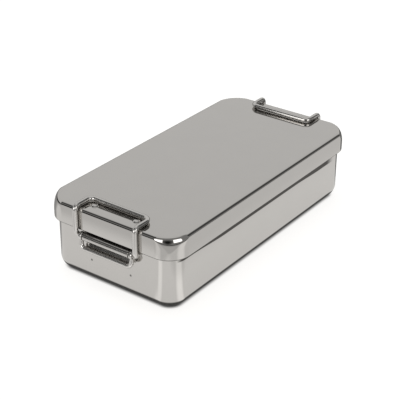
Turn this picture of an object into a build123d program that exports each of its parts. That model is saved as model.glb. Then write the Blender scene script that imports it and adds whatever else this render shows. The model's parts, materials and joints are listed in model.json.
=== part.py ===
from build123d import *
import math
import os

os.makedirs("parts", exist_ok=True)

# Stainless steel instrument box: a deep-drawn tray, a lift-off lid and a wire closure at each end.
# Millimetres, +Z up, origin on the floor under the middle of the box, +X along its length.

# Box
box_length = 200.0
box_width = 100.0
box_height = 50.0
sheet = 0.8

# Lid
skirt_height = 14.5
lid_corner_radius = 14.5
lid_edge_radius = 2.5
hem_height = 4.0
hem_thickness = 1.8
hem_radius = 0.7

# Tray, and the gap all round between its wall and the lid's hem
tray_gap = 1.0
tray_bottom_radius = 8.0

# Pressed bumps that the crossbars snap over
bump_radius = 2.6
bump_height = 0.9
bump_from_end = 8.5
bump_half_spacing = 16.0

# Wires and their clearances
bail_wire = 3.2
handle_wire = 3.0
pin_clearance = 0.1
lid_clearance = 0.3
side_clearance = 0.4

# Bracket: drops are measured down from the hinge line
bracket_sheet = 0.8
bracket_half_width = 17.5
curl_angle = 295.0
flange_drop = 2.1
flange_height = 2.3
tongue_drop = 8.2
tongue_out = 1.9

# Bail
pin_inner_end = 9.0
knee_rise = 3.0
foot_bend = 2.2
knee_bend = 3.0
shoulder_bend = 3.0
crossbar_bend = 4.0

# Handle, and the gap that its eyes keep from the tray's wall and from the lid's rim
handle_drop = 7.4
handle_lean = 1.4
handle_bend = 3.0
eye_wall = 1.0
eye_thickness = 2.2
eye_gap = 0.4

# Places worked out from the sizes above
tray_inset = hem_thickness + tray_gap
tray_length = box_length - 2 * tray_inset
tray_width = box_width - 2 * tray_inset
tray_height = box_height - sheet
rim_height = box_height - skirt_height
bump_x = box_length / 2 - bump_from_end

# The hinge line of both wires, out from the tray's end wall and up from the floor
pin_hole_radius = bail_wire / 2 + pin_clearance
eye_radius = pin_hole_radius + eye_wall
hinge_out = eye_radius + eye_gap
hinge_height = rim_height - eye_radius - eye_gap
hinge_x = tray_length / 2 + hinge_out

# The handle's legs stand outside the bracket, and the bail's legs outside the handle's
handle_half_width = bracket_half_width + side_clearance + handle_wire / 2
bail_half_width = handle_half_width + handle_wire / 2 + side_clearance + bail_wire / 2
handle_bar_x = hinge_x + handle_lean
handle_bar_z = hinge_height - handle_drop

# The bail's legs clear the skirt, and its crossbar lies on the lid behind the bumps
leg_x = box_length / 2 + lid_clearance + bail_wire / 2
crossbar_x = bump_x - bump_radius - bail_wire / 2
crossbar_z = box_height + lid_clearance + bail_wire / 2


# Tray: one sheet drawn to a pan, open at the top, with a large round along the bottom
with BuildPart() as tray:
    with BuildSketch():
        RectangleRounded(tray_length, tray_width, lid_corner_radius - tray_inset)
    extrude(amount=tray_height)
    fillet(tray.faces().sort_by(Axis.Z)[0].edges(), tray_bottom_radius)
    offset(amount=-sheet, openings=tray.faces().sort_by(Axis.Z)[-1])

tray.part.label = "tray"
export_step(tray.part, "parts/tray.step")


# Lid: a shallower pan turned over, its lower edge folded inwards to a double hem
# The bumps are pressed up from below, so that the sheet keeps its thickness under them
dome_radius = (bump_radius**2 + bump_height**2) / (2 * bump_height)
dome_angle = math.degrees(math.asin(1 - bump_height / dome_radius))
dome_align = (Align.CENTER, Align.CENTER, Align.MIN)

with BuildPart() as lid:
    with BuildSketch(Plane.XY.offset(rim_height)):
        RectangleRounded(box_length, box_width, lid_corner_radius)
    extrude(amount=skirt_height)
    fillet(lid.faces().sort_by(Axis.Z)[-1].edges(), lid_edge_radius)
    offset(amount=-sheet, openings=lid.faces().sort_by(Axis.Z)[0])
    with BuildSketch(Plane.XY.offset(rim_height)):
        RectangleRounded(box_length, box_width, lid_corner_radius)
        RectangleRounded(
            box_length - 2 * hem_thickness,
            box_width - 2 * hem_thickness,
            lid_corner_radius - hem_thickness,
            mode=Mode.SUBTRACT,
        )
    extrude(amount=hem_height)
    fillet(lid.faces().sort_by(Axis.Z)[0].edges(), hem_radius)
    for dome_base, dome_mode in ((box_height, Mode.ADD), (box_height - sheet, Mode.SUBTRACT)):
        with Locations(Plane.XY.offset(dome_base)):
            with GridLocations(2 * bump_x, 2 * bump_half_spacing, 2, 2):
                Sphere(dome_radius, arc_size1=dome_angle, align=dome_align, mode=dome_mode)

lid.part.label = "lid"
export_step(lid.part, "parts/lid.step")


def end_plane(side):
    """Upright plane along the box's length, at the tray's end wall: x points outwards, y up."""
    return Plane(origin=(side * tray_length / 2, 0, 0), x_dir=(side, 0, 0), z_dir=(0, -side, 0))


def make_bracket(side):
    """Hinge bracket: one strip with a flange on the wall, a curled barrel above, a tongue below."""
    curl_radius = pin_hole_radius + bracket_sheet / 2
    hinge = Vector(hinge_out, hinge_height)
    bend = Vector(bracket_sheet / 2, hinge_height - flange_drop)
    # The strip leaves the flange in line with the curl's circle
    to_bend = bend - hinge
    curl_start = math.degrees(math.atan2(to_bend.Y, to_bend.X) - math.acos(curl_radius / to_bend.length))
    with BuildPart() as bracket:
        with BuildSketch(end_plane(side)):
            with BuildLine():
                curl = CenterArc(tuple(hinge), curl_radius, curl_start, -curl_angle)
                Polyline(
                    curl @ 0,
                    tuple(bend),
                    (bracket_sheet / 2, bend.Y - flange_height),
                    (tongue_out, hinge_height - tongue_drop),
                )
            trace(line_width=bracket_sheet)
        extrude(amount=bracket_half_width, both=True)
    return bracket.part


def make_bail(side):
    """Locking bail: bent-in ends as hinge pins, legs up past the lid, arms and crossbar on it."""
    half = [
        (side * hinge_x, pin_inner_end, hinge_height),
        (side * hinge_x, bail_half_width, hinge_height),
        (side * leg_x, bail_half_width, hinge_height + knee_rise),
        (side * leg_x, bail_half_width, crossbar_z),
        (side * crossbar_x, bail_half_width, crossbar_z),
    ]
    points = half + [(x, -y, z) for x, y, z in reversed(half)]
    bends = [foot_bend, knee_bend, shoulder_bend, crossbar_bend]
    with BuildPart() as bail:
        with BuildLine() as path:
            FilletPolyline(*points, radius=bends + bends[::-1])
        with BuildSketch(Plane(origin=path.line @ 0, z_dir=path.line % 0)):
            Circle(bail_wire / 2)
        sweep()
    return bail.part


def make_handle(side):
    """Drop handle: a wire U whose flattened ends are eyes on the bail's pins."""
    points = [
        (side * hinge_x, handle_half_width, hinge_height),
        (side * handle_bar_x, handle_half_width, handle_bar_z),
        (side * handle_bar_x, -handle_half_width, handle_bar_z),
        (side * hinge_x, -handle_half_width, hinge_height),
    ]
    eye_planes = [
        Plane(origin=(side * hinge_x, y, hinge_height), x_dir=(1, 0, 0), z_dir=(0, 1, 0))
        for y in (-handle_half_width, handle_half_width)
    ]
    with BuildPart() as handle:
        with BuildLine() as path:
            FilletPolyline(*points, radius=handle_bend)
        with BuildSketch(Plane(origin=path.line @ 0, z_dir=path.line % 0)):
            Circle(handle_wire / 2)
        sweep()
        with BuildSketch(*eye_planes):
            Circle(eye_radius)
        extrude(amount=eye_thickness / 2, both=True)
        with BuildSketch(*eye_planes):
            Circle(pin_hole_radius)
        extrude(amount=handle_wire, both=True, mode=Mode.SUBTRACT)
    return handle.part


# The same closure stands at both short ends
makers = {"bracket": make_bracket, "bail": make_bail, "handle": make_handle}

for end, side in (("front", -1), ("rear", 1)):
    for kind, make in makers.items():
        piece = make(side)
        piece.label = f"{kind}_{end}"
        export_step(piece, f"parts/{kind}_{end}.step")
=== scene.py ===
import json
import math

import bmesh
import bpy
from mathutils import Matrix, Vector


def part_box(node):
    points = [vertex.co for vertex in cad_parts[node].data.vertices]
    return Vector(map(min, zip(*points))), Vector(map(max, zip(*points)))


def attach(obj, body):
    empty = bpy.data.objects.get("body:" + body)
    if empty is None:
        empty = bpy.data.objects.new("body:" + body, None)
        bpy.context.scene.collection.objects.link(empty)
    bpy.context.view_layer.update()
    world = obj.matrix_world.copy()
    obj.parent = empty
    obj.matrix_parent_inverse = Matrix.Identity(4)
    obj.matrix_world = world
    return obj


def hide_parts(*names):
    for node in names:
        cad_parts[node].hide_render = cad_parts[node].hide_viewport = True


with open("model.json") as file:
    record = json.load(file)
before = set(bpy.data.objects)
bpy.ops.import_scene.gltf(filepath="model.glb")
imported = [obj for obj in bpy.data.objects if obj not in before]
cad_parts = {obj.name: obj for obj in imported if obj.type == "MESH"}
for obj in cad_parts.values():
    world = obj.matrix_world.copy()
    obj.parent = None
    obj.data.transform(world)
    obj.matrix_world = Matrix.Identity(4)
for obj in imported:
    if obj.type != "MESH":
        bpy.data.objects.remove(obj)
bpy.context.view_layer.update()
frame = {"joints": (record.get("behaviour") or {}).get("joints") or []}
MM = 0.001

# The shot: a long lens looks down on the corner between the front end and the near long side.
# The place and the angles come from a camera fitted to the photograph's outlines.
camera_place = Vector((-0.5328, -0.3831, 0.3708))
camera_yaw = math.radians(36.07)
camera_pitch = math.radians(28.14)
camera_roll = math.radians(0.33)

camera_data = bpy.data.cameras.new("camera")
camera_data.sensor_width = 36.0
camera_data.lens = 101.42
camera = bpy.data.objects.new("camera", camera_data)
camera.matrix_world = (
    Matrix.Translation(camera_place)
    @ Matrix.Rotation(camera_yaw - math.pi / 2, 4, "Z")
    @ Matrix.Rotation(math.pi / 2 - camera_pitch, 4, "X")
    @ Matrix.Rotation(camera_roll, 4, "Z")
)
bpy.context.scene.collection.objects.link(camera)
bpy.context.scene.camera = camera
bpy.context.scene.view_settings.view_transform = "Standard"


# The studio: a dim room with a white table. A white sheet hangs behind the box and one overhead,
# and two soft boxes stand beside the camera. Dark cards give the steel dark lines along its bends.
class Shade:
    """A socket in a node tree. Arithmetic on it adds Math nodes."""

    def __init__(self, tree, socket=None):
        self.tree = tree
        self.socket = socket

    def node(self, kind, inputs=None, out=0, **settings):
        """A new node: its settings first, then its sockets' values or links."""
        made = self.tree.nodes.new("ShaderNode" + kind)
        for setting, value in settings.items():
            setattr(made, setting, value)
        for key, value in (inputs or {}).items():
            if isinstance(value, Shade):
                self.tree.links.new(value.socket, made.inputs[key])
            else:
                made.inputs[key].default_value = value
        return Shade(self.tree, made.outputs[out] if made.outputs else None)

    def math(self, operation, *others):
        values = (self,) + others
        return self.node("Math", dict(enumerate(values)), operation=operation)

    def smooth(self, low, high):
        """0 below low, 1 above high, and smooth between them."""
        return self.node(
            "MapRange", {0: self, 1: low, 2: high, 3: 0.0, 4: 1.0}, interpolation_type="SMOOTHSTEP"
        )

    def between(self, first, second):
        """The first number where this is 0, the second where it is 1."""
        return first + self * (second - first)

    def __add__(self, other):
        return self.math("ADD", other)

    def __sub__(self, other):
        return self.math("SUBTRACT", other)

    def __mul__(self, other):
        return self.math("MULTIPLY", other)

    def __rsub__(self, other):
        return self * -1.0 + other

    __radd__ = __add__
    __rmul__ = __mul__


def pointing(azimuth, elevation=0.0):
    """Unit vector, at degrees round from the box's length and up from the level."""
    round_from_x, up = math.radians(azimuth), math.radians(elevation)
    return (
        math.cos(round_from_x) * math.cos(up),
        math.sin(round_from_x) * math.cos(up),
        math.sin(up),
    )


def spot(direction, towards, half_width, soft=4.0):
    """1 within half_width degrees of the unit vector towards, 0 outside it. The edge between
    them is soft degrees wide."""
    nearness = direction.node(
        "VectorMath", {0: direction, 1: towards}, out="Value", operation="DOT_PRODUCT"
    )
    outer, inner = (math.cos(math.radians(half_width + edge)) for edge in (soft / 2, -soft / 2))
    return nearness.smooth(outer, inner)


room_light = 0.26
gap_light = 0.01
sheet_light = 0.715
box_light = 2.6
studio_colour = (1.0, 0.995, 0.985, 1.0)
backdrop_colour = (1.0, 1.0, 1.0, 1.0)
# Where each edge starts and ends: the sheets' and the soft boxes' as the sine of the elevation,
# the room's as the cosine of the angle from its middle
hanging_sheet_foot = (0.08, 0.16)
overhead_sheet_edge = (0.88, 0.95)
soft_box_foot = (0.10, 0.18)
soft_box_top = (0.48, 0.60)
room_edge = (-0.50, -0.24)
room_azimuth = 227.0
# Azimuth and half width in degrees
soft_boxes = ((174.0, 24.5), (250.0, 14.0))
# Azimuth, elevation and half width in degrees, and the card's lightness
dark_cards = (
    (120.0, 50.0, 20.0, 0.07),
    (139.0, 10.0, 10.0, 0.01),
    (216.0, 16.0, 16.0, 0.09),
    (216.0, 14.0, 8.0, 0.01),
    (333.0, 30.0, 20.0, 0.07),
)
card_edge_degrees = 8.0

world = bpy.data.worlds.new("studio")
world.use_nodes = True
world.node_tree.nodes.clear()
sky = Shade(world.node_tree)
direction = sky.node("TexCoord", out="Generated")
height = sky.node("SeparateXYZ", {0: direction}, out="Z")
bearing = sky.node("VectorMath", {0: direction, 1: (1.0, 1.0, 0.0)}, operation="MULTIPLY")
bearing = sky.node("VectorMath", {0: bearing}, operation="NORMALIZE")
into_room = sky.node(
    "VectorMath", {0: direction, 1: pointing(room_azimuth)}, out="Value", operation="DOT_PRODUCT"
)
hanging_sheet = height.smooth(*hanging_sheet_foot).between(gap_light, sheet_light)
room = room_light
for azimuth, elevation, half_width, card_light in dark_cards:
    card = spot(direction, pointing(azimuth, elevation), half_width, card_edge_degrees)
    room = card.between(room, card_light)
room = height.smooth(*overhead_sheet_edge).between(room, sheet_light)
studio_light = into_room.smooth(*room_edge).between(hanging_sheet, room)
box_heights = height.smooth(*soft_box_foot) * (1.0 - height.smooth(*soft_box_top))
for azimuth, half_width in soft_boxes:
    soft_box = spot(bearing, pointing(azimuth), half_width) * box_heights
    studio_light = studio_light + soft_box * (box_light - studio_light)
studio = sky.node("Background", {"Color": studio_colour, "Strength": studio_light})
backdrop = sky.node("Background", {"Color": backdrop_colour, "Strength": 1.0})
seen = sky.node("LightPath", out="Is Camera Ray")
lit = sky.node("MixShader", {0: seen, 1: studio, 2: backdrop})
sky.node("OutputWorld", {"Surface": lit})
bpy.context.scene.world = world

# The table's paper is white to the camera, with a painted shadow under the box. To the steel it glows
# with painted light, which falls off into the dark room, has painted fans of light and of shade, and
# ends in a painted shadow under the box's round.
floor_reach = 3.0
table_light = 0.88
# Where the light falls off, in metres from the middle
falls_off = (0.30, 1.0)
# The painted shadow under the box, as the steel and as the camera sees it: where it ends, in metres
# out from the tray's outline, and the levels inside and outside it
contact_edge = (0.0 * MM, 3.0 * MM)
contact_levels = (0.06, 1.0)
shadow_edge = (-5.0 * MM, -1.4 * MM)
shadow_levels = (0.03, 1.1)
# Painted shade on the paper's near and front parts, a bit darker: from where to where along Y or X,
# and how much
near_edge = (-0.070, -0.095)
near_shade = 0.17
front_edge = (-0.148, -0.162)
front_shade = 0.25
# A fan of painted light, and of painted shade where its share is below 0, spreads from one of the
# tray's corners: the corner's side along X and Y, then azimuth, half width and soft edge in degrees,
# and the share by which the paper gets lighter or darker
paper_fans = (
    (-1, -1, 167.0, 8.0, 14.0, 0.33),
    (-1, -1, 268.0, 12.0, 22.0, 0.42),
    (-1, 1, 62.0, 36.0, 30.0, -0.7),
    (1, -1, 21.0, 43.0, 14.0, -0.9),
)
paper_colour = (0.9, 0.9, 0.9, 1.0)
glow_colour = (1.0, 0.99, 0.975, 1.0)
glow_seen = 0.8
glow_mirrored = 0.9
floor_mesh = bpy.data.meshes.new("floor")
floor_mesh.from_pydata(
    [(x * floor_reach, y * floor_reach, 0.0) for x, y in ((-1, -1), (1, -1), (1, 1), (-1, 1))],
    [],
    [(0, 1, 2, 3)],
)
floor_paper = bpy.data.materials.new("table_paper")
floor_paper.use_nodes = True
floor_paper.node_tree.nodes.clear()
paper = Shade(floor_paper.node_tree)
place = paper.node("TexCoord", out="Object")
reach = paper.node("VectorMath", {0: place}, out="Value", operation="LENGTH")
tray_high = Vector(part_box("tray")[1])
tray_corner = 11.7 * MM
# The distance from the tray's outline, below 0 inside it
beyond = paper.node("VectorMath", {0: place}, operation="ABSOLUTE")
beyond = paper.node(
    "VectorMath",
    {0: beyond, 1: (tray_high.x - tray_corner, tray_high.y - tray_corner, 0.0)},
    operation="SUBTRACT",
)
beyond = paper.node("VectorMath", {0: beyond, 1: (0.0, 0.0, 0.0)}, operation="MAXIMUM")
from_tray = paper.node("VectorMath", {0: beyond}, out="Value", operation="LENGTH") - tray_corner
contact = from_tray.smooth(*contact_edge).between(*contact_levels)
shadow = from_tray.smooth(*shadow_edge).between(*shadow_levels)
near_side = 1.0 - paper.node("SeparateXYZ", {0: place}, out="Y").smooth(*near_edge) * near_shade
front_side = 1.0 - paper.node("SeparateXYZ", {0: place}, out="X").smooth(*front_edge) * front_shade
lightness = (1.0 - reach.smooth(*falls_off)) * contact * near_side * front_side
for x_side, y_side, azimuth, half_width, soft, change in paper_fans:
    corner = (x_side * (tray_high.x - tray_corner), y_side * (tray_high.y - tray_corner), 0.0)
    outwards = paper.node("VectorMath", {0: place, 1: corner}, operation="SUBTRACT")
    outwards = paper.node("VectorMath", {0: outwards}, operation="NORMALIZE")
    lightness = lightness * (1.0 + spot(outwards, pointing(azimuth), half_width, soft) * change)
matt = paper.node("BsdfDiffuse", {"Color": paper_colour})
seen = paper.node("LightPath", out="Is Camera Ray")
mirrored = paper.node("LightPath", out="Is Glossy Ray")
glow_light = seen.between(lightness * table_light, shadow)
glow = paper.node("Emission", {"Color": glow_colour, "Strength": glow_light})
glow_share = seen * glow_seen + mirrored * glow_mirrored
paper_shader = paper.node("MixShader", {0: glow_share, 1: matt, 2: glow})
paper.node("OutputMaterial", {"Surface": paper_shader})
floor_mesh.materials.append(floor_paper)
floor = bpy.data.objects.new("floor", floor_mesh)
bpy.context.scene.collection.objects.link(floor)

# A wide lamp overhead gives the box its soft shadow. The steel doesn't mirror it.
lamp_data = bpy.data.lights.new("soft_top", "AREA")
lamp_data.shape = "DISK"
lamp_data.size = 1.6
lamp_data.energy = 22.0
lamp = bpy.data.objects.new("soft_top", lamp_data)
lamp.location = (0.2, 0.15, 1.8)
lamp.visible_glossy = False
bpy.context.scene.collection.objects.link(lamp)


# Tray: one blank of stainless sheet, deep drawn to a pan with a large round along its bottom,
# then polished inside and out. It stands on its flat bottom.
sheet = 0.8 * MM
haze_scale = 60.0
haze_tone = 0.96
haze_gloss = (0.85, 1.25)
# Colour and roughness of the real weld marks and of the painted shade lines
mark_and_shade_colour = (0.075, 0.07, 0.065, 1.0)
mark_and_shade_roughness = 0.4


def polished_steel(name, colour, roughness, wave_size, wave_height, marks_and_shade=None):
    """Polished stainless steel: slow waves from the press and a faint haze from the mop.

    marks gives the places, 0 to 1, that are dull and darker: real marks that the mop didn't reach, and
    painted shade.
    """
    material = bpy.data.materials.new(name)
    material.use_nodes = True
    material.node_tree.nodes.clear()
    steel = Shade(material.node_tree)
    place = steel.node("TexCoord", out="Object")
    waves = steel.node("TexNoise", {"Vector": place, "Scale": 1.0 / wave_size, "Detail": 1.0})
    haze = steel.node("TexNoise", {"Vector": place, "Scale": haze_scale, "Detail": 4.0})
    # Sockets 0, 6 and 7 of a colour mix are its factor and its two colours, and 2 its result
    darker = tuple(haze_tone * part for part in colour)
    tone = steel.node(
        "Mix", {0: haze, 6: darker + (1.0,), 7: colour + (1.0,)}, out=2, data_type="RGBA"
    )
    gloss = haze.between(haze_gloss[0] * roughness, haze_gloss[1] * roughness)
    if marks_and_shade:
        dull = marks_and_shade(steel, place)
        tone = steel.node("Mix", {0: dull, 6: tone, 7: mark_and_shade_colour}, out=2, data_type="RGBA")
        gloss = dull.between(gloss, mark_and_shade_roughness)
    bend = steel.node("Bump", {"Height": waves * wave_height, "Distance": 1.0, "Strength": 1.0})
    shader = steel.node(
        "BsdfPrincipled", {"Base Color": tone, "Metallic": 1.0, "Roughness": gloss, "Normal": bend}
    )
    steel.node("OutputMaterial", {"Surface": shader})
    return material


def arc(centre, radius, start, turn, steps, rise=None):
    """Points along an arc, as (inset, height), with angles in degrees, where 0 points inwards.
    With a rise the arc is an ellipse's, and the rise its upright radius."""
    angles = [math.radians(start + turn * step / steps) for step in range(steps + 1)]
    rise = rise or radius
    return [(centre[0] + radius * math.cos(a), centre[1] + rise * math.sin(a)) for a in angles]


corner_steps = 18


def loop(mesh, size, corner, places):
    """One loop round a pan as new vertices. places holds (inset, height) for each step of a corner."""
    ring = []
    for x_sign, y_sign, start in ((1, 1, 0), (-1, 1, 90), (-1, -1, 180), (1, -1, 270)):
        for step, (inset, height) in enumerate(places):
            angle = math.radians(start + 90 * step / corner_steps)
            x = x_sign * (size[0] / 2 - corner) + (corner - inset) * math.cos(angle)
            y = y_sign * (size[1] / 2 - corner) + (corner - inset) * math.sin(angle)
            ring.append(mesh.verts.new((x, y, height)))
    return ring


def join(mesh, ring, following):
    """Faces between two loops of as many vertices."""
    for i in range(len(ring)):
        mesh.faces.new((ring[i - 1], ring[i], following[i], following[i - 1]))


def edges_of(ring):
    """The edges along one loop."""
    return [edge for i in range(len(ring)) for edge in ring[i].link_edges if ring[i - 1] in edge.verts]


def pan(mesh, size, corner, section, holes=()):
    """A drawn pan. Its section runs from one flat face over the rim to the other, and may change
    with the share of the way into a corner, which is 0 where the sides start and 1 in its middle."""
    shares = [math.sin(math.pi * step / corner_steps) for step in range(corner_steps + 1)]
    rings = [loop(mesh, size, corner, places) for places in zip(*[section(share) for share in shares])]
    for ring, following in zip(rings, rings[1:]):
        join(mesh, ring, following)
    for ring, bumps in ((rings[0], holes[:1]), (rings[-1], holes[1:])):
        edges = edges_of(ring)
        for bump_rings in bumps:
            for bump in bump_rings:
                edges += edges_of(bump)
        bmesh.ops.triangle_fill(mesh, edges=edges, use_beauty=True)


def show(piece, body, node):
    """The piece rides on its body and stands for its CAD node."""
    bpy.context.scene.collection.objects.link(piece)
    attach(piece, body)
    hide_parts(node)


def finish_piece(mesh, name, material, body, node):
    """A closed piece from a bmesh, smooth, in the place of its CAD node."""
    bmesh.ops.recalc_face_normals(mesh, faces=mesh.faces)
    data = bpy.data.meshes.new(name)
    mesh.to_mesh(data)
    mesh.free()
    for face in data.polygons:
        face.use_smooth = True
    data.materials.append(material)
    piece = bpy.data.objects.new(name, data)
    even = piece.modifiers.new("even", "WEIGHTED_NORMAL")
    even.weight = 100
    even.keep_sharp = True
    show(piece, body, node)
    return piece


tray_size = tray_high * 2
tray_bottom_radius = 8.0 * MM
rim_round = 0.3 * MM
tray_rim = tray_high.z
bottom_centre = (tray_bottom_radius, tray_bottom_radius)
tray_section = (
    arc(bottom_centre, tray_bottom_radius, 270, -90, steps=14)
    + arc((rim_round, tray_rim - rim_round), rim_round, 180, -90, steps=4)
    + arc((sheet - rim_round, tray_rim - rim_round), rim_round, 90, -90, steps=4)
    + arc(bottom_centre, tray_bottom_radius - sheet, 180, 90, steps=12)
)
weld_place = (tray_high.x, 15.2 * MM, 15.5 * MM)
weld_edge = (0.4 * MM, 1.0 * MM)
weld_dullness = 0.8
# The painted shade line under the lid's rim runs between these heights. Its lower edge falls twice
# along the wall: from where to where, and how far. It ends short of the rear corner.
rim_shade_low = 32.3 * MM
rim_shade_blur = 0.5 * MM
rim_shade_high = (33.6 * MM, 34.2 * MM)
rim_shade_falls = ((-80 * MM, -45 * MM, 1.5 * MM), (35 * MM, 65 * MM, 0.9 * MM))
rim_shade_end = (74 * MM, 84 * MM)
near_wall = (-45.2 * MM, -47.0 * MM)


def welds_and_rim_shade(steel, place):
    """Two small spot weld marks low on each end wall, and a painted line of shade, dull and dark, just
    under the lid's rim on the near long wall."""
    folded = steel.node("VectorMath", {0: place}, operation="ABSOLUTE")
    away = steel.node("VectorMath", {0: folded, 1: weld_place}, out="Value", operation="DISTANCE")
    welds = weld_dullness - away.smooth(*weld_edge) * weld_dullness
    x, y, z = (steel.node("SeparateXYZ", {0: place}, out=axis) for axis in "XYZ")
    # The painted shade line just under the lid's rim
    low = rim_shade_low
    for falls_from, falls_to, fall in rim_shade_falls:
        low = low - x.smooth(falls_from, falls_to) * fall
    above_low = (z - low).smooth(0.0, rim_shade_blur)
    line = above_low * (1.0 - z.smooth(*rim_shade_high)) * y.smooth(*near_wall)
    line = line * (1.0 - x.smooth(*rim_shade_end))
    return welds + line


sheet_colour = (0.58, 0.565, 0.545)
sheet_roughness = 0.045
press_wave = 90.0 * MM
press_wave_height = 0.015 * MM
tray_steel = polished_steel(
    "tray_steel", sheet_colour, sheet_roughness, press_wave, press_wave_height, welds_and_rim_shade
)
tray_mesh = bmesh.new()
pan(tray_mesh, tray_size, tray_corner, lambda share: tray_section)
finish_piece(tray_mesh, "tray_shell", tray_steel, "base", "tray")

# Lid: the same sheet drawn shallower, its lower edge folded inwards to a double hem.
# Two round bumps are pressed up near each end, and the bails' crossbars snap over them.
lid_low, lid_high = (Vector(corner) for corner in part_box("lid"))
lid_size = lid_high - lid_low
bump_height = 0.9 * MM
lid_top = lid_high.z - bump_height
lid_corner = 14.5 * MM
lid_edge = 2.5 * MM
hem_thickness = 1.8 * MM
hem_height = 4.0 * MM
hem_round = 0.88 * MM
fold_round = 0.25 * MM
bump_x = lid_size.x / 2 - 8.5 * MM
bump_y = 16.0 * MM
bump_slope = math.radians(52)
bump_foot = 2.7 * MM
bump_foot_round = 0.5 * MM
bump_shoulder_round = 0.9 * MM
foot_steps = 4
shoulder_steps = 6
bump_sides = 32


def bump(mesh, centre, height):
    """One pressed bump, from its foot in the flat face to its top; gives its foot's loop."""
    both_rounds = bump_foot_round + bump_shoulder_round
    flank_rise = bump_height - both_rounds * (1 - math.cos(bump_slope))
    flat_top = bump_foot - both_rounds * math.sin(bump_slope) - flank_rise / math.tan(bump_slope)
    section = [
        (bump_foot - bump_foot_round * math.sin(a), bump_foot_round * (1 - math.cos(a)))
        for a in (bump_slope * step / foot_steps for step in range(foot_steps + 1))
    ] + [
        (
            flat_top + bump_shoulder_round * math.sin(a),
            bump_height - bump_shoulder_round * (1 - math.cos(a)),
        )
        for a in (bump_slope * (1 - step / shoulder_steps) for step in range(shoulder_steps + 1))
    ]
    rings = [
        [
            mesh.verts.new(
                (
                    centre[0] + reach * math.cos(2 * math.pi * side / bump_sides),
                    centre[1] + reach * math.sin(2 * math.pi * side / bump_sides),
                    height + rise,
                )
            )
            for side in range(bump_sides)
        ]
        for reach, rise in section
    ]
    for ring, following in zip(rings, rings[1:]):
        join(mesh, ring, following)
    top = mesh.verts.new((centre[0], centre[1], height + bump_height))
    for i in range(bump_sides):
        mesh.faces.new((rings[-1][i - 1], rings[-1][i], top))
    return rings[0]


lid_corner_edge = 3.4 * MM
lid_corner_drop = 10.0 * MM


def lid_section(share):
    """The drawn edge's round grows into the corners, most of all downwards."""
    edge = lid_edge + (lid_corner_edge - lid_edge) * share
    drop = lid_edge + (lid_corner_drop - lid_edge) * share
    edge_centre = (edge, lid_top - drop)
    hem_outside = (hem_round, lid_low.z + hem_round)
    hem_inside = (hem_thickness - hem_round, lid_low.z + hem_round)
    fold_end = (hem_thickness - fold_round, lid_low.z + hem_height - fold_round)
    return (
        arc(edge_centre, edge, 90, 90, steps=16, rise=drop)
        + arc(hem_outside, hem_round, 180, 90, steps=6)
        + arc(hem_inside, hem_round, 270, 90, steps=6)
        + arc(fold_end, fold_round, 0, 90, steps=3)
        + [(sheet, lid_low.z + hem_height)]
        + arc(edge_centre, edge - sheet, 180, -90, steps=8, rise=drop - sheet)
    )


# Heights over which the painted shade along the fold's lower edge fades out
shaded_fold = (lid_low.z + 0.5 * MM, lid_low.z + 0.9 * MM)


def hem_edge_shade(steel, place):
    """Painted shade: the fold's lower edge is painted dark and dull."""
    return 1.0 - steel.node("SeparateXYZ", {0: place}, out="Z").smooth(*shaded_fold)


lid_steel = polished_steel(
    "lid_steel", sheet_colour, sheet_roughness, press_wave, press_wave_height, hem_edge_shade
)
lid_mesh = bmesh.new()
bump_places = [(x * bump_x, y * bump_y) for x in (-1, 1) for y in (-1, 1)]
bumps_above = [bump(lid_mesh, place, lid_top) for place in bump_places]
bumps_below = [bump(lid_mesh, place, lid_top - sheet) for place in bump_places]
pan(lid_mesh, lid_size, lid_corner, lid_section, (bumps_above, bumps_below))
finish_piece(lid_mesh, "lid_shell", lid_steel, "lid", "lid")

# Bails: hard stainless spring wire, bent in a jig. The two bent-in ends are the hinge pins,
# the legs stand against the lid's skirt and the crossbar lies on the lid behind the bumps.
bail_wire = 3.2 * MM
pin_inner_end = 9.0 * MM
knee_rise = 3.0 * MM
bail_bends = [0.0, 2.2 * MM, 3.0 * MM, 3.0 * MM, 4.0 * MM]
bend_steps = 10
wire_sides = 32
wire_colour = (0.64, 0.625, 0.605)
wire_steel = polished_steel(
    "wire_steel", wire_colour, roughness=0.15, wave_size=4.0 * MM, wave_height=0.002 * MM
)


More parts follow.
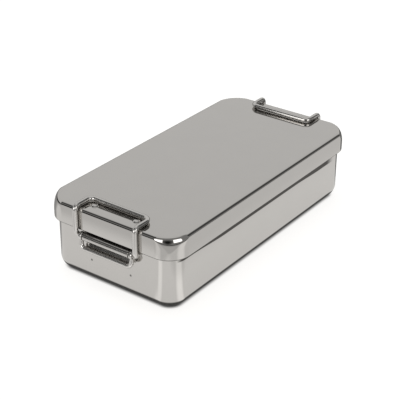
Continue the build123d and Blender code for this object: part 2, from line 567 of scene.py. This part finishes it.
def wire_tree():
    """Geometry nodes: rounds a line of corners by its 'bend' and sweeps a wire along it."""
    tree = bpy.data.node_groups.new("bent_wire", "GeometryNodeTree")
    for name, kind in (
        ("Line", "NodeSocketGeometry"),
        ("Wire diameter", "NodeSocketFloat"),
        ("Steps in a bend", "NodeSocketInt"),
        ("Sides of the wire", "NodeSocketInt"),
        ("Steel", "NodeSocketMaterial"),
    ):
        tree.interface.new_socket(name, in_out="INPUT", socket_type=kind)
    tree.interface.new_socket("Wire", in_out="OUTPUT", socket_type="NodeSocketGeometry")

    def add(kind, inputs, **settings):
        node = tree.nodes.new(kind)
        for setting, value in settings.items():
            setattr(node, setting, value)
        for key, value in inputs.items():
            if isinstance(value, bpy.types.NodeSocket):
                tree.links.new(value, node.inputs[key])
            else:
                node.inputs[key].default_value = value
        return node

    given = tree.nodes.new("NodeGroupInput").outputs
    curve = add("GeometryNodeMeshToCurve", {"Mesh": given["Line"]}).outputs["Curve"]
    bend = add("GeometryNodeInputNamedAttribute", {"Name": "bend"}, data_type="FLOAT")
    bent = add(
        "GeometryNodeFilletCurve",
        {"Curve": curve, "Count": given["Steps in a bend"], "Radius": bend.outputs["Attribute"]},
        mode="POLY",
    ).outputs["Curve"]
    half = add("ShaderNodeMath", {0: given["Wire diameter"], 1: 0.5}, operation="MULTIPLY").outputs[0]
    circle = add(
        "GeometryNodeCurvePrimitiveCircle", {"Resolution": given["Sides of the wire"], "Radius": half}
    ).outputs["Curve"]
    swept = add(
        "GeometryNodeCurveToMesh", {"Curve": bent, "Profile Curve": circle, "Fill Caps": True}
    ).outputs["Mesh"]
    smooth = add("GeometryNodeSetShadeSmooth", {"Geometry": swept}).outputs["Geometry"]
    real = add("GeometryNodeRealizeInstances", {"Geometry": smooth}).outputs["Geometry"]
    dressed = add("GeometryNodeSetMaterial", {"Geometry": real, "Material": given["Steel"]})
    end = tree.nodes.new("NodeGroupOutput")
    tree.links.new(dressed.outputs["Geometry"], end.inputs["Wire"])
    return tree


bent_wire = wire_tree()


def wire_mesh(points, bends, diameter, material):
    """A plain mesh of one bent wire."""
    line = bpy.data.meshes.new("line")
    line.from_pydata(points, [(i, i + 1) for i in range(len(points) - 1)], [])
    line.attributes.new("bend", "FLOAT", "POINT").data.foreach_set("value", bends)
    carrier = bpy.data.objects.new("line", line)
    bpy.context.scene.collection.objects.link(carrier)
    nodes = carrier.modifiers.new("bent_wire", "NODES")
    nodes.node_group = bent_wire
    values = {
        "Wire diameter": diameter,
        "Steps in a bend": bend_steps,
        "Sides of the wire": wire_sides,
        "Steel": material,
    }
    for item in bent_wire.interface.items_tree:
        if item.in_out == "INPUT" and item.name in values:
            nodes[item.identifier] = values[item.name]
    bpy.context.view_layer.update()
    swept = carrier.evaluated_get(bpy.context.evaluated_depsgraph_get())
    made = bpy.data.meshes.new_from_object(swept)
    bpy.data.objects.remove(carrier)
    return made


ends = {"front": -1, "rear": 1}
hinge_at = {joint["name"]: Vector(joint["pos_m"]) for joint in frame["joints"] if "pos_m" in joint}

for end, side in ends.items():
    low, high = (Vector(corner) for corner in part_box(f"bail_{end}"))
    hinge = hinge_at[f"bail_{end}_swing"]
    leg_x = high.x - bail_wire / 2 if side > 0 else low.x + bail_wire / 2
    crossbar_x = low.x + bail_wire / 2 if side > 0 else high.x - bail_wire / 2
    half_width = high.y - bail_wire / 2
    top = high.z - bail_wire / 2
    half = [
        (hinge.x, pin_inner_end, hinge.z),
        (hinge.x, half_width, hinge.z),
        (leg_x, half_width, hinge.z + knee_rise),
        (leg_x, half_width, top),
        (crossbar_x, half_width, top),
    ]
    corners = half + [(x, -y, z) for x, y, z in reversed(half)]
    name = f"bail_wire_{end}"
    bail = wire_mesh(corners, bail_bends + bail_bends[::-1], bail_wire, wire_steel)
    bail.name = name
    show(bpy.data.objects.new(name, bail), f"bail_{end}", f"bail_{end}")

# Handles: a softer wire bent to a small U. Each end is hammered flat and pierced for the
# bail's pin, between the bail's leg and the bracket's barrel, so that the handle hangs there.
handle_wire = 3.0 * MM
handle_bend = 3.0 * MM
eye_thickness = 2.2 * MM
eye_inner = 1.7 * MM
eye_outer = 2.7 * MM
eye_round = 0.4 * MM
eye_steps = 40
eye_round_steps = 4
neck_start = eye_inner + 0.35 * MM
neck_length = 3.2 * MM
# The neck starts inside the eye, at this share of its thickness, and the wire starts inside the
# neck, at this share of its length
neck_thin = 0.94
wire_start = 0.97
neck_steps = 8


def eye(mesh, centre):
    """A flat ring round the hinge line, with rounded edges."""
    flat = eye_thickness / 2 - eye_round
    section = []
    for x, y, start in (
        (eye_outer - eye_round, flat, 0),
        (eye_inner + eye_round, flat, 90),
        (eye_inner + eye_round, -flat, 180),
        (eye_outer - eye_round, -flat, 270),
    ):
        section += [
            (
                x + eye_round * math.cos(math.radians(start + 90 * step / eye_round_steps)),
                y + eye_round * math.sin(math.radians(start + 90 * step / eye_round_steps)),
            )
            for step in range(eye_round_steps + 1)
        ]
    rings = []
    for step in range(eye_steps):
        turn = 2 * math.pi * step / eye_steps
        outwards = Vector((math.cos(turn), 0, math.sin(turn)))
        rings.append(
            [
                mesh.verts.new(centre + outwards * reach + Vector((0, along, 0)))
                for reach, along in section
            ]
        )
    for ring, following in zip(rings, rings[1:] + rings[:1]):
        join(mesh, ring, following)


def neck(mesh, hinge, y, downwards):
    """The wire's end, drawn out from round to as flat as the eye."""
    sideways = Vector((0, 1, 0))
    across = downwards.cross(sideways).normalized()
    wide = handle_wire / 2
    rings = []
    for step in range(neck_steps + 1):
        share = step / neck_steps
        blend = share * share * (3 - 2 * share)
        thick = (1 - blend) * eye_thickness / 2 * neck_thin + blend * wide
        middle = Vector((hinge.x, y, hinge.z)) + downwards * (neck_start + share * neck_length)
        ring = []
        for i in range(wire_sides):
            turn = 2 * math.pi * i / wire_sides
            around = across * wide * math.cos(turn) + sideways * thick * math.sin(turn)
            ring.append(mesh.verts.new(middle + around))
        rings.append(ring)
    for ring, following in zip(rings, rings[1:]):
        join(mesh, ring, following)
    mesh.faces.new(rings[0])
    mesh.faces.new(rings[-1])


for end, side in ends.items():
    low, high = (Vector(corner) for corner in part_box(f"handle_{end}"))
    hinge = hinge_at[f"handle_{end}_swing"]
    bar_x = high.x - handle_wire / 2 if side > 0 else low.x + handle_wire / 2
    bar_z = low.z + handle_wire / 2
    leg_y = high.y - handle_wire / 2
    downwards = Vector((bar_x - hinge.x, 0, bar_z - hinge.z)).normalized()
    start = Vector((hinge.x, 0, hinge.z)) + downwards * (neck_start + neck_length * wire_start)
    corners = [
        (start.x, leg_y, start.z),
        (bar_x, leg_y, bar_z),
        (bar_x, -leg_y, bar_z),
        (start.x, -leg_y, start.z),
    ]
    wire = wire_mesh(corners, [0.0, handle_bend, handle_bend, 0.0], handle_wire, wire_steel)
    handle_mesh = bmesh.new()
    for y in (-leg_y, leg_y):
        eye(handle_mesh, Vector((hinge.x, y, hinge.z)))
        neck(handle_mesh, hinge, y, downwards)
    bmesh.ops.recalc_face_normals(handle_mesh, faces=handle_mesh.faces)
    for face in handle_mesh.faces:
        face.smooth = True
    handle_mesh.from_mesh(wire)
    name = f"handle_wire_{end}"
    data = bpy.data.meshes.new(name)
    handle_mesh.to_mesh(data)
    handle_mesh.free()
    bpy.data.meshes.remove(wire)
    data.materials.append(wire_steel)
    show(bpy.data.objects.new(name, data), f"handle_{end}", f"handle_{end}")

# Brackets: a strip of sheet with a flange spot welded to the tray's end wall. Above it the strip
# curls round the bail's pins, below it a tongue leans out and keeps the handle off the wall.
strip = 0.8 * MM
curl_turn = 295.0
flange_drop = 2.1 * MM
flange_height = 2.3 * MM
tongue_drop = 8.2 * MM
tongue_out = 2.4 * MM
fold = 0.9 * MM
# The share of the flange's height that lies against the wall above the tongue's fold
flange_flat = 0.45
curl_steps = 48
strip_steel = polished_steel(
    "strip_steel", sheet_colour, roughness=0.12, wave_size=6.0 * MM, wave_height=0.002 * MM
)


def rounded(points, radius, steps=6):
    """A flat line of points with its inner corners rounded."""
    line = [points[0]]
    for before, corner, after in zip(points, points[1:], points[2:]):
        into, away = (corner - before).normalized(), (after - corner).normalized()
        turn = into.angle_signed(away)
        reach = radius * math.tan(abs(turn) / 2)
        start = corner - into * reach
        normal = Vector((-into.y, into.x)) * (-1 if turn > 0 else 1)
        centre = start + normal * radius
        for step in range(steps + 1):
            spoke = start - centre
            spoke.rotate(Matrix.Rotation(-turn * step / steps, 2))
            line.append(centre + spoke)
    line.append(points[-1])
    return line


for end, side in ends.items():
    low, high = (Vector(corner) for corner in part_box(f"bracket_{end}"))
    hinge = hinge_at[f"bail_{end}_swing"]
    wall = tray_size.x / 2
    curl_radius = eye_inner + strip / 2
    pivot = Vector((abs(hinge.x) - wall, hinge.z))
    flange_top = Vector((strip / 2, hinge.z - flange_drop))
    to_bend = flange_top - pivot
    curl_start = math.atan2(to_bend.y, to_bend.x) - math.acos(curl_radius / to_bend.length)
    curl = []
    for step in range(curl_steps + 1):
        angle = curl_start - math.radians(curl_turn * (1 - step / curl_steps))
        curl.append(pivot + Vector((math.cos(angle), math.sin(angle))) * curl_radius)
    below = rounded(
        [
            curl[-1],
            flange_top,
            Vector((strip / 2, flange_top.y - flange_flat * flange_height)),
            Vector((tongue_out, hinge.z - tongue_drop)),
        ],
        fold,
    )
    line = curl + below[1:]
    strip_mesh = bmesh.new()
    rings = []
    for i, point in enumerate(line):
        ahead = (line[min(i + 1, len(line) - 1)] - line[max(i - 1, 0)]).normalized()
        normal = Vector((-ahead.y, ahead.x)) * strip / 2
        ring = []
        for y, out in ((low.y, -1), (high.y, -1), (high.y, 1), (low.y, 1)):
            at = point + normal * out
            ring.append(strip_mesh.verts.new((side * (wall + at.x), y, at.y)))
        rings.append(ring)
    for ring, following in zip(rings, rings[1:]):
        join(strip_mesh, ring, following)
    strip_mesh.faces.new(rings[0])
    strip_mesh.faces.new(rings[-1])
    bracket = finish_piece(strip_mesh, f"bracket_strip_{end}", strip_steel, "base", f"bracket_{end}")
    # The edges are softened before the normals are evened out
    soften = bracket.modifiers.new("deburred", "BEVEL")
    soften.width = 0.12 * MM
    soften.segments = 2
    soften.limit_method = "ANGLE"
    soften.angle_limit = math.radians(50)
    bracket.modifiers.move(1, 0)
